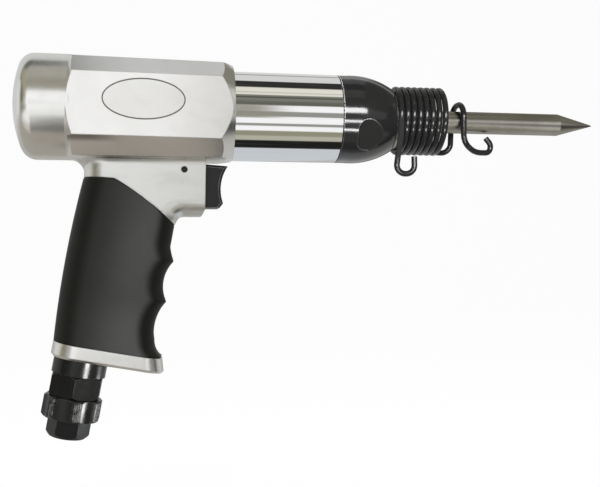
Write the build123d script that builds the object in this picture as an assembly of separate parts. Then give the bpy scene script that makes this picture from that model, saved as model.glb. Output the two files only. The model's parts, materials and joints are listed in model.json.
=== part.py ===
from build123d import *
from math import cos, pi, radians, sin, sqrt, tan
import os

# Pneumatic rivet gun, in millimetres. The barrel runs along +X with the muzzle forward,
# +Z is up and the grip hangs below. The origin is the middle of the grip, where the hand closes.

# ---- fits ----
slip = 0.05             # radial clearance of a turned fit
seat = 0.1              # gap between faces that are clamped together or rest on each other
soft_gap = 0.3          # room left round sprung pieces
break_edge = 1.0        # chamfer on turned edges

# ---- barrel line ----
barrel_z = 70.0         # height of the barrel axis above the origin
piston_r = 9.5
piston_len = 52.0
piston_cup_r = 4.0      # hollow in the rear of the piston
piston_cup_len = 9.0
shank_r = 5.1           # the standard .401 inch tool shank
barrel_r = 18.0         # barrel where it seats in the housing and in the sleeve
barrel_relief = 2.0     # the barrel is turned down by this between its seats
spigot_step = 3.0       # and by this at its front, which carries the retainer spring
spigot_front = 158.0
bore_front = 118.0      # front end of the piston bore
barrel_rear = -14.0
seat_len = 12.0         # length of each seat of the barrel
port_r = 2.5
port_x = 66.0           # exhaust ports of the bore
port_count = 4
port_turn = 45.0        # the first port, from the top

# ---- sleeve and nose ----
sleeve_wall = 4.75
sleeve_front = 110.2
seal_setback = 8.0      # the sealing ring's rear face lies this far behind the sleeve's front
sleeve_seal_len = 2.0
sleeve_seal_deep = 1.8  # depth of the seal's groove
nose_front = 140.3
nose_rim = 1.55         # width of the nose's front face, outside the barrel
nose_lip = 0.6          # bevel of the nose where it meets the sleeve
nose_straight = 5.0     # length of the nose before it starts to narrow
nose_step = 132.0       # where the barrel steps down to its spigot
nose_bulge_x = 130.0    # a point on the nose's curve
nose_bulge_in = 1.5     # and how far it lies inside the sleeve's surface
spanner_start = 118.4   # rear end of the spanner flats
spanner_depth = 2.1     # and their depth
spanner_width = 17.0
spanner_corner = 5.0    # corner radius that the cutter leaves at that end
spanner_tilt = 29.0

# ---- piston valve, behind the barrel ----
valve_cap_len = 9.0
valve_cap_r = 3.0       # its middle hole
valve_seat_len = 9.0
valve_seat_r = 4.5
bumper_slack = 0.5      # the bumper is this much smaller than its bore
bumper_hole_r = 10.0
disc_len = 1.2
disc_r = 9.0
disc_hole_r = 3.5
disc_lift = 1.0
dowel_r = 1.25
dowel_ring = 14.5       # the dowels' distance from the axis
dowel_inset = 1.0       # from the outer face of each plate
feed_r = 1.4
feed_ring = 12.5        # the feed holes' distance from the axis
feed_turns = (90.0, 210.0, 330.0)

# ---- housing ----
housing_front = 56.1
cap_rear = -51.2        # rearmost point of the rounded rear end
cap_front = -22.8       # where the rounded part stops, a step above the flats
cap_r = 26.15
cap_rise = 2.4          # the rear end stands this much above the barrel axis
dome_r = 60.0
dome_edge = 7.5
facets_rear = -24.3     # where the flats begin
side_flat = 26.0        # side flats, from the middle plane
flat_half = 15.05       # half height of a side flat
flat_rise = 1.0         # the flats' middle stands this much above the barrel axis
top_flat_rear = 25.4    # top flat above the barrel axis, at the rear
top_flat_front = 24.1   # and at the front
bottom_flat = 22.8      # bottom flat below the barrel axis
front_slope = 37.6      # slope of the chamfer round the front of the flats
rear_slope = 54.0       # slope of the chamfer round their rear
front_lip = 1.5         # how far the front chamfer runs in past the side flats
cavity_rear = -36.0
jacket = 1.2            # depth of the exhaust jacket cut into the cavity

# ---- grip casting, along the grip's own axis ----
rake = 10.5             # the grip leans back by this angle
core_half = 13.0        # half thickness of the metal grip and of the trigger block
core_front = 20.8
core_rear = -22.0
core_round = 11.5
core_top = 41.2         # the grip core runs up into the housing
grip_bottom = -47.8
neck_rear = -24.2       # bare metal above the rubber
neck_round = 12.6
flare_share = 0.9       # the neck's fillet takes this share of the bottom flat beside it
rubber_half = 16.6
rubber_rear = -25.5
rubber_round = 15.0
rubber_top = 35.7       # highest point of the rubber's upper edge
rubber_step = -8.5      # where it lies
rubber_fall = 1.9       # how much lower that edge is at the rear
rubber_bend = -4.0      # where it has reached its slope, ahead of the highest point
rubber_dip = 1.8        # how far it has fallen there
rubber_low = 18.7       # upper edge of the rubber at the front
rubber_bow = 0.9        # the slope bulges upward by this much
bow_steps = 6
groove = 24.0           # front of the rubber above the finger grooves
groove_top = 7.6        # where they start
ridge = 27.0            # crests between them
grip_flare = 29.6       # front of the rubber at its foot
# the finger grooves from the top down: a point on each arc, then its end, as (u, w) points
groove_arcs = (((25.0, 4.7), (ridge, 0.6)), ((23.8, -9.65), (ridge, -19.9)),
               ((23.4, -31.9), (24.9, -40.3)), ((26.2, -44.2), (grip_flare, grip_bottom)))
plate_len = 7.2
plate_front = 32.3
plate_rear = -23.8
plate_half = 16.0
plate_round = 13.5      # corner radius at the rear
plate_nose = 9.0        # and at the front
plate_bevel = 1.2
plate_draft = 2.1        # the front end leans back by this much at the top
vent_rows = (-5.0, 0.0, 5.0)
vent_u = 15.0           # middle of the exhaust slots in the plate
vent_len = 14.0
vent_width = 2.6
silencer_u = 12.0       # exhaust chamber, ahead of the inlet
silencer_r = 6.6
silencer_hole_r = 3.0
silencer_len = 34.0
silencer_cap = 5.0      # thickness of its closed end
chamber_len = 40.0
duct_r = 2.2            # ducts that pass the throttle on both sides
duct_y = 9.3
duct_start = -11.8

# ---- trigger block, trigger and throttle ----
block_front = 42.3
block_draft = 0.4       # the front face leans back by this much
block_bottom = 18.4
block_chamfer = 3.2     # height of the cut off its lower front corner
toe_share = 0.6         # and its length, as a share of that
block_round = 6.0       # rounding along its lower sides
block_heel = 2.6        # the bottom of the block starts this far ahead of the rubber
heel_round = 4.0        # hollow rounding between the two
slot_half = 9.7
slot_back = 25.5
slot_top = 46.0
slot_bottom = 20.6
pin_x = 31.7
pin_z = 41.4
pin_r = 1.5
pin_half = 11.0
trigger_gap = 0.35      # each side of the trigger in its slot
trigger_rear = 31.0
trigger_boss = 3.1      # from the pin to the faces round it
trigger_foot = 22.6
trigger_nose = (53.6, 43.7)
trigger_waist = (50.0, 32.6)
trigger_heel = (51.2, 24.9)
trigger_toe_x = 49.4
trigger_brow_x = 43.0
trigger_bevel = 1.2
throttle_z = 30.5
stem_r = 2.0
stem_point = 0.6        # chamfer on the tip of the stem
bush_r = 5.5
bush_rear = 5.0
bush_hollow_r = 3.2     # wider rear part of its bore
bush_hollow_len = 8.6
window_x = 11.0         # air passes up through this window to the barrel
window_r = 2.6
window_gap = 0.4
head_r = 4.0
head_len = 3.5
washer_r = 5.3
washer_len = 1.6
washer_hole_r = 3.2
stem_ring_x = 20.5      # sealing ring of the stem
stem_ring_r = 0.5
stem_ring_width = 2.0
throttle_end = -10.0
throttle_wire_r = 0.4
throttle_coil_r = 3.0
throttle_turns = 4

# ---- inlet and regulator, along the grip's own axis ----
inlet_u = -9.0          # axis of the inlet, behind the middle of the grip
air_r = 4.0
air_clearance = 1.0     # the passage in the grip is this much wider
neck_r = 9.5            # threaded neck of the regulator inside the grip
neck_len = 17.0
collar_r = 13.2
collar_len = 7.7
hex_across = 24.0
hex_len = 11.2
hex_bevel = 1.5
hub_r = 9.2
ring_r = 14.45
ring_len = 10.8
ring_lobes = 7
ring_flute_r = 12.7     # radius of the shallow flutes round it
ring_flute_deep = 1.2   # and their depth
seal_r = 0.6            # sealing rings under the knob
seal_sink = 0.65        # their middle below the surface of the hub
seal_inset = 2.0        # from the ends of the ring
spool_r = 6.0
spool_top = 4.0         # the rotary valve reaches this far up into the hexagon
spool_lid = 2.0
spool_port_r = 1.6      # offset hole that meets the air passage as the knob turns
valve_pin_r = 1.0
valve_pin_sink = 1.2    # its depth in the rotary valve
valve_pin_end = 3.2     # and how far it stops short of the knob's surface
socket_r = 7.0
socket_len = 2.8
foot_across = 18.4
foot_len = 9.3
foot_bevel = 1.9
thread_r = 5.7          # wall radius of the 1/4 inch inlet thread
thread_len = 10.0
screen_len = 0.8
screen_r = 5.2
screen_hole_r = 0.8
screen_ring = 2.6
screen_holes = 6
regulator_turn = 90.0   # from open to closed
window_slack = 12.0     # the pin's window is longer by this angle at each end

# ---- punch ----
shaft_r = 5.9
collar_width = 6.0
punch_collar_r = 9.6
collar_bevel = 0.8
shank_len = 41.7
cone_start = 235.6
punch_tip = 256.5
punch_tip_r = 0.35

# ---- retainer spring ----
wire_r = 1.52
coil_pitch = 3.38
coil_start = 142.2      # first pass of the wire, on the near side
coil_turns = 7.5
leg_len = 8.0          # straight run from the coil to the grip loop
loop_width = 10.4
loop_drop = 29.2
loop_end = 9.0
loop_inset = 3.17       # the loop hangs this far inside the coil's near side
loop_bend = 4.65
loop_lean = 2.3         # the loop stands this much behind the leg
loop_twist = 0.6
leg_bend = 40.0
knee_len = 14.5         # straight run from the coil to the arch
arch_x = 178.2          # arch of wire over the punch
arch_half = 8.2
arch_top = 9.4
arch_bend = 7.8
arch_twist = (0.7, 0.8, 1.2)        # the far leg's foot, behind, outside and below its place
knee_bends = (6.0, 5.0)
# the hook, from the arch's near top to the end of the wire: x from the arch, y, z from the axis
hook_route = ((0.8, -arch_half, arch_top), (0.6, -arch_half, -11.5), (8.3, -4.5, -16.6), (17.4, -2.5, -16.3),
              (18.2, -2.5, -12.0), (15.2, -2.5, -8.4))
hook_bends = (8.0, 13.0, 3.0, 3.4)

# ---- values that follow ----
barrel_waist_r = barrel_r - barrel_relief
spigot_r = barrel_r - spigot_step
sleeve_r = barrel_r + slip + sleeve_wall
sleeve_seal_x = sleeve_front - seal_setback
sleeve_seal_r = barrel_r - sleeve_seal_deep
nose_front_r = spigot_r + slip + nose_rim
bumper_r = barrel_r - bumper_slack
flats_half_height = (top_flat_rear + bottom_flat) / 2
bottom_half = side_flat - flats_half_height + flat_half     # half width of the bottom flat
neck_flare = flare_share * (bottom_half - core_half)
bore_r = piston_r + slip
guide_r = shank_r + slip
cavity_r = barrel_r + slip
coil_r = spigot_r + slip + wire_r
valve_seat_x = barrel_rear - seat - valve_seat_len
valve_cap_x = valve_seat_x - seat - valve_cap_len
valve_front = valve_seat_x + valve_seat_len
washer_x = bush_rear - washer_len - slip
head_x = washer_x - slip - head_len
plate_bottom = grip_bottom - seat - plate_len
collar_top = plate_bottom - seat
hex_top = collar_top - collar_len
hub_top = hex_top - hex_len
ring_top = hub_top - seat
ring_bottom = ring_top - ring_len
pin_w = (ring_top + ring_bottom) / 2
seal_stations = (ring_top - seal_inset, ring_bottom + seal_inset)
foot_top = ring_bottom - seat
foot_bottom = foot_top - foot_len
chin = barrel_z - bottom_flat       # height of the bottom flat
over = 1.0                          # how far a cut runs past the face it opens
UPRIGHT = (Align.CENTER, Align.CENTER, Align.MIN)


def grip_point(u, w):
    """A point (u, w) of the grip's own frame as (x, z) of the gun."""
    lean = radians(rake)
    return (u * cos(lean) + w * sin(lean), w * cos(lean) - u * sin(lean))


def turned(outline, height=barrel_z):
    """A piece turned about a line along X, from a closed outline of (x, radius) points."""
    points = [(x, 0, height + radius) for x, radius in outline]
    line = Axis((0, 0, height), (1, 0, 0))
    return revolve(make_face(Polyline(*points, close=True)), line, 360)


def tube(x0, x1, outer, inner=0.0, height=barrel_z):
    """A disc or a tube about a line along X."""
    return turned([(x0, inner), (x1, inner), (x1, outer), (x0, outer)], height)


def bar(w0, w1, outer, u=inlet_u, y=0.0):
    """A round bar along the grip's axis, in the grip's frame."""
    return Pos(u, y, min(w0, w1)) * Cylinder(outer, abs(w1 - w0), align=UPRIGHT)


def hexagon(w0, w1, across, turn, u=inlet_u):
    """A hexagonal bar along the grip's axis; a turn of 90 puts one corner towards each side of the gun."""
    shape = Rot(0, 0, turn) * RegularPolygon(across / sqrt(3), 6)
    return Pos(u, 0, min(w0, w1)) * extrude(shape, abs(w1 - w0))


def slab(outline, half):
    """A plate of equal thickness on both sides of the middle plane, from (x, z) points."""
    face = make_face(Polyline(*[(x, 0, z) for x, z in outline], close=True))
    return extrude(face, half, both=True, dir=(0, 1, 0))


def cross_bar(x, z, radius, half):
    """A round bar across the gun."""
    return Pos(x, 0, z) * Rot(90, 0, 0) * Cylinder(radius, 2 * half)


def in_place(shape):
    """Moves a piece from the grip's frame to the gun's."""
    return Rot(0, rake, 0) * shape


def section(front, rear, half, corner):
    """The rounded section of the grip, in the grip's frame."""
    return Pos((front + rear) / 2, 0) * RectangleRounded(front - rear, 2 * half, corner)


def round_edges(shape):
    """The circular edges of a turned piece."""
    return shape.edges().filter_by(GeomType.CIRCLE)


# ---------------------------------------------------------------- housing casting
def facet_face(x, top):
    """The eight-sided section of the housing at one station."""
    half_height = (top + bottom_flat) / 2
    corner = side_flat - half_height + flat_half
    middle = barrel_z + (top - bottom_flat) / 2
    quarter = [(side_flat, flat_half), (corner, half_height)]
    quarter += [(-y, z) for y, z in reversed(quarter)]
    points = quarter + [(-y, -z) for y, z in quarter]
    return make_face(Polyline(*[(x, y, middle + z) for y, z in points], close=True))


def housing_shell():
    """The rounded rear end and the faceted front, chamfered like a nut."""
    cap_z = barrel_z + cap_rise
    cap = tube(cap_rear, cap_front, cap_r, height=cap_z)
    cap &= Pos(cap_rear + dome_r, 0, cap_z) * Sphere(dome_r)
    cap = fillet(cap.edges().group_by(Axis.X)[0], dome_edge)
    wide = side_flat + flat_half
    deep = side_flat - flat_half
    rear_run = flat_half / tan(radians(rear_slope))
    start = facets_rear - rear_run
    facets = loft([facet_face(start, top_flat_rear), facet_face(housing_front, top_flat_front)])
    fall = tan(radians(front_slope))
    lip_x = housing_front - front_lip
    nut = turned([(start, 0), (start, deep), (facets_rear + rear_run, wide),
                  (lip_x - flat_half / fall, wide), (housing_front, side_flat - front_lip * fall),
                  (housing_front, 0)], barrel_z + flat_rise)
    return cap + (facets & nut)


def rubber_edge(gap=0.0):
    """Upper edge of the rubber, from front to rear, as (u, w) points of the grip's frame."""
    rise = rubber_top - rubber_dip - rubber_low
    line = []
    for step in range(bow_steps + 1):
        t = step / bow_steps
        bow = 4 * rubber_bow * t * (1 - t)
        line.append((groove + (rubber_bend - groove) * t, rubber_low + rise * t + bow))
    line += [(rubber_step, rubber_top), (neck_rear, rubber_top - rubber_fall)]
    return [(u, w - gap) for u, w in line]


def build_block():
    """The bare neck and the trigger block, flared where they run out into the housing."""
    low = [grip_point(u, w) for u, w in rubber_edge()]
    rear = low[-1][0]
    front = block_front + side_flat
    block = slab(low + [(rear, chin + over), (front, chin + over), (front, block_bottom),
                        (low[0][0] + block_heel, block_bottom)], core_half)
    block = fillet(block.edges().filter_by(Axis.Z).sort_by(Axis.X)[:2], neck_round)
    block = fillet(near(block, Axis.Z, block_bottom).filter_by(Axis.Y).sort_by(Axis.X)[0], heel_round)
    sides = near(block, Axis.Y, -core_half) + near(block, Axis.Y, core_half)
    lower = sides.filter_by_position(Axis.X, low[0][0], front)
    block = fillet(lower.filter_by_position(Axis.Z, low[0][1], block_bottom + slip), block_round)
    start = rear - neck_flare - 4 * slip
    place = (Align.MIN, Align.CENTER, Align.MIN)
    footing = Box(front - start, 2 * (bottom_half - slip), 2 * over, align=place)
    block += Pos(start, 0, chin) * footing
    root = near(block, Axis.Z, chin).filter_by_position(Axis.X, rear - slip, front - over)
    block = fillet(root.filter_by_position(Axis.Y, -core_half - slip, core_half + slip), neck_flare)
    ahead = front + over
    low = block_bottom - over
    toe = block_front - toe_share * block_chamfer
    return block - slab([(block_front, chin + 3 * over), (block_front, chin),
                         (block_front - block_draft, block_bottom + block_chamfer), (toe, block_bottom),
                         (toe, low), (ahead, low), (ahead, chin + 3 * over)], side_flat)


def near(shape, axis, place):
    """Edges of a shape that lie in one plane across an axis."""
    width = 0.01
    return shape.edges().filter_by_position(axis, place - width, place + width)


def build_housing():
    body = housing_shell() + build_block()
    core = extrude(section(core_front, core_rear, core_half, core_round), core_top - grip_bottom)
    body += in_place(Pos(0, 0, grip_bottom) * core)
    # barrel cavity, with the jacket that leads the spent air back
    body -= tube(cavity_rear, housing_front + over, cavity_r)
    body -= tube(barrel_rear + seat_len, housing_front - seat_len, cavity_r + jacket)
    # trigger slot, pin hole and throttle bore
    front = block_front + 5 * over
    body -= slab([(slot_back, slot_bottom), (slot_back, slot_top), (front, slot_top), (front, slot_bottom)],
                 slot_half)
    body -= cross_bar(pin_x, pin_z, pin_r + slip, core_half + over)
    body -= tube(throttle_end, slot_back + over, bush_r + slip, height=throttle_z)
    # air up the grip to the throttle, and on to the barrel
    start = grip_bottom - over
    body -= in_place(bar(start, throttle_z, air_r + air_clearance))
    body -= in_place(bar(start, grip_bottom + neck_len + over, neck_r + slip))
    riser = Cylinder(window_r + window_gap, barrel_z - cavity_r - throttle_z, align=UPRIGHT)
    body -= Pos(window_x, 0, throttle_z) * riser
    # exhaust past both sides of the throttle, down to the silencer
    for side in (-1, 1):
        body -= in_place(bar(duct_start, chin + over, duct_r, silencer_u, side * duct_y))
    return body - in_place(bar(start, grip_bottom + chamber_len, silencer_r + slip, silencer_u))


# ---------------------------------------------------------------- barrel, sleeve and nose
def build_barrel():
    rear_seat = barrel_rear + seat_len
    housing_seat = housing_front - seat_len
    sleeve_seat = sleeve_front - seat_len
    collar = housing_front + over
    barrel = turned([(barrel_rear, bore_r), (bore_front, bore_r), (bore_front, guide_r),
                     (spigot_front, guide_r), (spigot_front, spigot_r - break_edge),
                     (spigot_front - break_edge, spigot_r), (nose_step, spigot_r),
                     (nose_step, barrel_waist_r), (sleeve_front, barrel_waist_r),
                     (sleeve_front, barrel_r), (sleeve_seat, barrel_r),
                     (sleeve_seat, barrel_waist_r), (collar, barrel_waist_r), (collar, barrel_r),
                     (housing_seat, barrel_r), (housing_seat, barrel_waist_r), (rear_seat, barrel_waist_r),
                     (rear_seat, barrel_r), (barrel_rear, barrel_r)])
    groove_end = sleeve_seal_x + sleeve_seal_len + seat
    barrel -= tube(sleeve_seal_x - seat, groove_end, barrel_r + over, sleeve_seal_r - slip)
    port = Cylinder(port_r, barrel_r + over, align=UPRIGHT)
    for i in range(port_count):
        barrel -= Pos(port_x, 0, barrel_z) * Rot(port_turn + 360 / port_count * i, 0, 0) * port
    return barrel


def build_sleeve():
    """The chromed sleeve, hollowed between its two seats."""
    sleeve = tube(housing_front + seat, sleeve_front, sleeve_r, cavity_r)
    return sleeve - tube(housing_front + seat_len, sleeve_front - seat_len, cavity_r + jacket)


def build_sleeve_seal():
    """Sealing ring in a groove of the barrel, inside the front end of the sleeve."""
    return tube(sleeve_seal_x, sleeve_seal_x + sleeve_seal_len, barrel_r - slip, sleeve_seal_r)


def build_nose():
    """An ogive with two spanner flats, screwed on the front of the barrel."""
    rear = sleeve_front + seat
    step = nose_step + seat
    shoulder = (rear + nose_straight, 0, barrel_z + sleeve_r)
    crest = (nose_bulge_x, 0, barrel_z + sleeve_r - nose_bulge_in)
    lip = (nose_front, 0, barrel_z + nose_front_r)
    waist = barrel_z + barrel_waist_r + slip
    bore = barrel_z + spigot_r + slip
    outline = Curve() + [
        Polyline((rear, 0, waist), (rear, 0, shoulder[2] - nose_lip), (rear + nose_lip, 0, shoulder[2]),
                 shoulder),
        ThreePointArc(shoulder, crest, lip),
        Polyline(lip, (nose_front, 0, bore), (step, 0, bore), (step, 0, waist), (rear, 0, waist))]
    nose = revolve(make_face(outline), Axis((0, 0, barrel_z), (1, 0, 0)), 360)
    block = Box(2 * sleeve_r, spanner_width, sleeve_r, align=(Align.MIN, Align.CENTER, Align.MIN))
    block = fillet(block.edges().filter_by(Axis.Z).sort_by(Axis.X)[:2], spanner_corner)
    for side in (0, 180):
        turn = Rot(90 + spanner_tilt + side, 0, 0)
        nose -= Pos(spanner_start, 0, barrel_z) * turn * Pos(0, 0, sleeve_r - spanner_depth) * block
    return nose


# ---------------------------------------------------------------- piston and valve
def build_piston():
    rear = barrel_rear + seat
    piston = tube(rear, rear + piston_len, piston_r)
    piston = chamfer(round_edges(piston), break_edge)
    return piston - tube(rear - over, rear + piston_cup_len, piston_cup_r)


def build_bumper():
    """Rubber ring that takes up the end play behind the valve."""
    return tube(cavity_rear + seat, valve_cap_x - seat, bumper_r, bumper_hole_r)


def dowel_pair(start, end, radius):
    """Two round bars beside the barrel axis."""
    return [Pos(0, side * dowel_ring, 0) * tube(start, end, radius) for side in (-1, 1)]


def feed_holes():
    """Cuts for the three air passages through both plates of the valve."""
    places = [(radians(turn), feed_ring) for turn in feed_turns]
    hole = tube(valve_cap_x - over, valve_front + over, feed_r)
    return [Pos(0, ring * cos(turn), ring * sin(turn)) * hole for turn, ring in places]


def build_valve_cap():
    cap = tube(valve_cap_x, valve_cap_x + valve_cap_len, barrel_r, valve_cap_r)
    floor = valve_cap_x + dowel_inset - seat
    for cut in dowel_pair(floor, valve_seat_x + over, dowel_r + slip) + feed_holes():
        cap -= cut
    return cap


def build_valve_seat():
    plate = tube(valve_seat_x, valve_front, barrel_r, valve_seat_r)
    plate -= tube(valve_seat_x - over, valve_seat_x + disc_len + disc_lift, disc_r + soft_gap)
    floor = valve_front - dowel_inset + seat
    for cut in dowel_pair(valve_seat_x - over, floor, dowel_r + slip) + feed_holes():
        plate -= cut
    return plate


def build_disc():
    return tube(valve_seat_x, valve_seat_x + disc_len, disc_r, disc_hole_r)


def build_dowels():
    left, right = dowel_pair(valve_cap_x + dowel_inset, valve_front - dowel_inset, dowel_r)
    return left + right


# ---------------------------------------------------------------- trigger and throttle
def build_trigger():
    """The trigger: a hollow of one large radius for the finger, and a boss round its pin."""
    top = pin_z + trigger_boss
    low = pin_z - trigger_boss
    back = pin_x - trigger_boss
    nose, waist, heel = [(x, 0, z) for x, z in (trigger_nose, trigger_waist, trigger_heel)]
    outline = Curve() + [
        ThreePointArc(nose, waist, heel),
        Polyline(heel, (trigger_toe_x, 0, trigger_foot), (trigger_rear, 0, trigger_foot),
                 (trigger_rear, 0, low), (back, 0, low + break_edge), (back, 0, top - break_edge),
                 (back + break_edge, 0, top),
                 (trigger_brow_x, 0, top), nose)]
    trigger = extrude(make_face(outline), slot_half - trigger_gap, both=True, dir=(0, 1, 0))
    for side in (0, -1):
        edges = trigger.faces().sort_by(Axis.Y)[side].edges()
        ahead = edges.filter_by_position(Axis.X, block_front + block_draft, trigger_nose[0])
        trigger = chamfer(ahead, trigger_bevel)
    return trigger - cross_bar(pin_x, pin_z, pin_r + slip, core_half)


def build_trigger_pin():
    return cross_bar(pin_x, pin_z, pin_r, pin_half)


def build_bush():
    """Guide of the throttle stem, with the window that passes the air up to the barrel."""
    bush = tube(bush_rear, slot_back, bush_r, stem_r + slip, throttle_z)
    bush -= Pos(window_x, 0, throttle_z) * Cylinder(window_r, bush_r + over, align=UPRIGHT)
    bush -= tube(bush_rear - over, bush_rear + bush_hollow_len, bush_hollow_r, height=throttle_z)
    half = stem_ring_width / 2
    groove_r = stem_r + 2 * (stem_ring_r + slip)
    return bush - tube(stem_ring_x - half, stem_ring_x + half, groove_r, height=throttle_z)


def build_washer():
    """Sealing washer that the head of the stem closes against."""
    return tube(washer_x, washer_x + washer_len, washer_r, washer_hole_r, throttle_z)


def build_stem():
    tip = trigger_rear - soft_gap
    return turned([(head_x, 0), (tip, 0), (tip, stem_r - stem_point), (tip - stem_point, stem_r),
                   (head_x + head_len, stem_r), (head_x + head_len, head_r), (head_x, head_r)], throttle_z)


def build_stem_ring():
    ring = Torus(stem_r + stem_ring_r + slip, stem_ring_r)
    return Pos(stem_ring_x, 0, throttle_z) * Rot(0, 90, 0) * ring


def build_throttle_spring():
    rear = throttle_end + throttle_wire_r + seat
    height = head_x - throttle_wire_r - seat - rear
    place = Plane(origin=(rear, 0, throttle_z), x_dir=(0, 0, 1), z_dir=(1, 0, 0))
    return coil_wire(height / throttle_turns, throttle_turns, throttle_coil_r, throttle_wire_r, place)


# ---------------------------------------------------------------- rubber grip and end plate
def grip_outline():
    """Side view of the rubber, in the grip's frame: finger grooves in front, a slight belly behind."""
    edge = [(u, 0, w) for u, w in rubber_edge(seat)]
    here = (groove, 0, groove_top)
    front = [Line(edge[0], here)]
    for middle, end in groove_arcs:
        after = (end[0], 0, end[1])
        front.append(ThreePointArc(here, (middle[0], 0, middle[1]), after))
        here = after
    heel = (plate_rear, 0, grip_bottom)
    belly = (rubber_rear, 0, (rubber_top + grip_bottom) / 2)
    rear = [Line(here, heel), ThreePointArc(heel, belly, edge[-1])]
    return make_face(Curve() + front + rear + [Polyline(*edge)])


def build_grip():
    """Rubber moulded over the metal grip."""
    sleeve = extrude(grip_outline(), rubber_half, both=True, dir=(0, 1, 0))
    height = rubber_top - grip_bottom + over
    rounded = extrude(section(grip_flare + over, rubber_rear, rubber_half, rubber_round), height)
    sleeve &= Pos(0, 0, grip_bottom) * rounded
    core = section(core_front + slip, core_rear - slip, core_half + slip, core_round + slip)
    return sleeve - Pos(0, 0, grip_bottom - over) * extrude(core, height + 2 * over)


def build_plate():
    """End plate of the grip, with the exhaust slots ahead of the inlet."""
    plate = slab([(plate_rear, 0), (plate_front, 0), (plate_front - plate_draft, plate_len),
                  (plate_rear, plate_len)], plate_half)
    for end, radius in ((0, plate_round), (-1, plate_nose)):
        upright = plate.edges().filter_by(Axis.Y, reverse=True).group_by(Axis.X)[end]
        plate = fillet(upright, radius)
    plate = chamfer(plate.faces().sort_by(Axis.Z)[0].edges(), plate_bevel)
    plate = Pos(0, 0, plate_bottom) * plate
    plate -= bar(plate_bottom - over, grip_bottom + over, neck_r + slip)
    vent = extrude(SlotOverall(vent_len, vent_width), plate_len + 2 * over)
    for y in vent_rows:
        plate -= Pos(vent_u, y, plate_bottom - over) * vent
    return plate


def build_silencer():
    """Porous cup that muffles the exhaust."""
    top = grip_bottom + silencer_len
    cup = bar(grip_bottom + seat, top, silencer_r - slip, silencer_u)
    return cup - bar(grip_bottom, top - silencer_cap, silencer_hole_r, silencer_u)


# ---------------------------------------------------------------- regulator and inlet
def build_regulator():
    """Neck, collar, hexagon and hub in one turned and milled piece."""
    top = grip_bottom + neck_len
    body = bar(collar_top - slip, top, neck_r) + bar(hex_top, collar_top, collar_r)
    facing = chamfer(round_edges(bar(hub_top, hex_top, hex_across / sqrt(3))), hex_bevel)
    body += hexagon(hub_top, hex_top, hex_across, 90) & facing
    body += bar(foot_top + seat, hub_top, hub_r)
    body -= bar(foot_bottom, top + over, air_r)
    body -= bar(foot_top, hex_top - spool_top, spool_r + slip)
    body -= bar(foot_top, foot_top + socket_len + 2 * seat, socket_r + slip)
    half = 1.5 * seal_r
    for w in seal_stations:
        land = (w - half, w + half)
        body -= bar(*land, hub_r + over) - bar(*land, hub_r - seal_sink - seal_r - slip)
    # window that the pin swings through
    half = valve_pin_r + 4 * slip
    turn = regulator_turn + window_slack
    return body - sector_bar(pin_w - half, pin_w + half, hub_r + over, -window_slack, turn)


def sector_bar(w0, w1, outer, start, end):
    """A slice of a round bar between two angles, measured from the front."""
    arc = CenterArc((0, 0), outer, start, end - start)
    face = make_face(Curve() + [Line((0, 0), arc @ 0), arc, Line(arc @ 1, (0, 0))])
    return Pos(inlet_u, 0, w0) * extrude(face, w1 - w0)


def valve_pin(end, clearance=0.0):
    """The pin that joins the knob to the rotary valve, towards the front, or the hole for it."""
    start = spool_r - valve_pin_sink
    pin = Cylinder(valve_pin_r + clearance, end - start + clearance, align=UPRIGHT)
    return Pos(inlet_u + start, 0, pin_w) * Rot(0, 90, 0) * pin


def build_valve_pin():
    return valve_pin(ring_r - valve_pin_end)


def build_ring():
    """The knob of the regulator, fluted between its lands."""
    ring = chamfer(round_edges(bar(ring_bottom, ring_top, ring_r)), break_edge)
    flute = Cylinder(ring_flute_r, ring_len + 2 * over, align=UPRIGHT)
    flute = Pos(ring_r - ring_flute_deep + ring_flute_r, 0, ring_bottom - over) * flute
    for i in range(ring_lobes):
        ring -= Pos(inlet_u, 0, 0) * Rot(0, 0, 360 / ring_lobes * i) * flute
    ring -= bar(ring_bottom - over, ring_top + over, hub_r + slip)
    return ring - valve_pin(ring_r - valve_pin_end + seat, slip)


def build_spool():
    """Rotary valve: a cup with an offset port in its lid."""
    top = hex_top - spool_top - seat
    low = foot_top + socket_len + 3 * seat
    spool = bar(low, top, spool_r) - bar(low - over, top - spool_lid, air_r)
    spool -= bar(top - spool_lid - over, top + over, spool_port_r, inlet_u, spool_port_r)
    return spool - valve_pin(spool_r + over, slip)


def build_ring_seals():
    upper, lower = [Pos(inlet_u, 0, w) * Torus(hub_r - seal_sink, seal_r) for w in seal_stations]
    return upper + lower


def build_inlet():
    """Hexagonal bushing with the inlet thread."""
    facing = bar(foot_bottom, foot_top, foot_across / sqrt(3))
    facing = chamfer(round_edges(facing).sort_by(Axis.Z)[0], foot_bevel)
    foot = hexagon(foot_bottom, foot_top, foot_across, 0) & facing
    top = foot_top + seat + socket_len
    foot += bar(foot_top - over, top, socket_r)
    foot -= bar(foot_bottom - over, foot_bottom + thread_len, thread_r)
    foot -= bar(top - screen_len - seat, top + over, screen_r + slip)
    return foot - bar(foot_bottom, top + over, air_r)


def build_screen():
    """Strainer in the top of the inlet bushing."""
    top = foot_top + seat + socket_len
    hole = (top - screen_len - over, top + over, screen_hole_r)
    screen = bar(top - screen_len, top, screen_r) - bar(*hole)
    for i in range(screen_holes):
        turn = 2 * pi / screen_holes * i
        screen -= bar(*hole, inlet_u - screen_ring * sin(turn), screen_ring * cos(turn))
    return screen


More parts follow.
